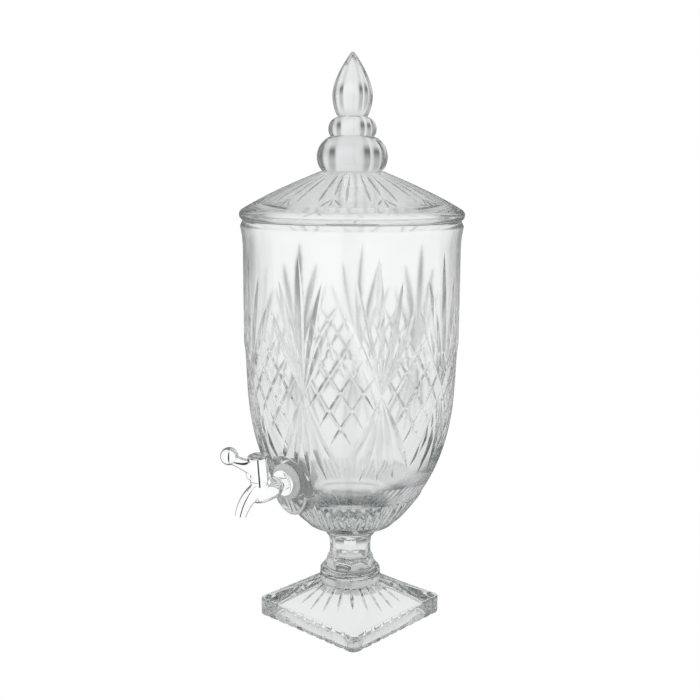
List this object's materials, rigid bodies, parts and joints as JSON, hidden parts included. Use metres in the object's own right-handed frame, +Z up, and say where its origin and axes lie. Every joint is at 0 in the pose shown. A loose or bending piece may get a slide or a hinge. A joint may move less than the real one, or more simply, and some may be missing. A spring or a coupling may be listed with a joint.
{
  "type": "glass beverage dispenser",
  "caption": "Pressed-glass drink urn on a square pedestal foot, with a conical glass lid with lobed finial and a chromed quarter-turn lever tap.",
  "frame": {"origin": "centre of the square foot's underside, on the bowl's axis", "axes": "+Z up along the bowl's axis, the tap points to -Y, +X to the right when facing along +Y"},
  "size_m": [0.1938, 0.2329, 0.5],
  "materials": {
    "glass": "clear pressed glass with bright cuts",
    "chrome": "polished chrome plate",
    "silicone": "satin grey silicone",
    "white_plastic": "moulded white plastic",
    "black_rubber": "smooth black rubber",
    "steel": "turned steel",
    "grey_plastic": "speckled grey plastic with a dished top"
  },
  "bodies": {
    "vessel": {"pedestal": "glass", "bowl": "glass", "outer_washer": "silicone", "tap_body": "chrome", "inner_washer": "silicone", "nut_washer": "white_plastic", "lock_nut": "white_plastic", "plug_clip": "white_plastic"},
    "lid": {"lid": "glass", "finial": "glass"},
    "handle": {"tap_handle": "chrome", "valve_plug": "white_plastic", "plug_o_rings": "black_rubber", "handle_screw": "steel", "index_disc": "grey_plastic"}
  },
  "joints": [
    {"name": "lid_lift", "type": "slide", "parent": "vessel", "child": "lid", "axis": [0, 0, 1], "range_m": [0, 0.15]},
    {"name": "handle_turn", "type": "hinge", "parent": "vessel", "child": "handle", "pos_m": [0, -0.10909, 0.14137], "axis": [0, -0.0872, 0.9962], "range_deg": [0, 90]}
  ]
}
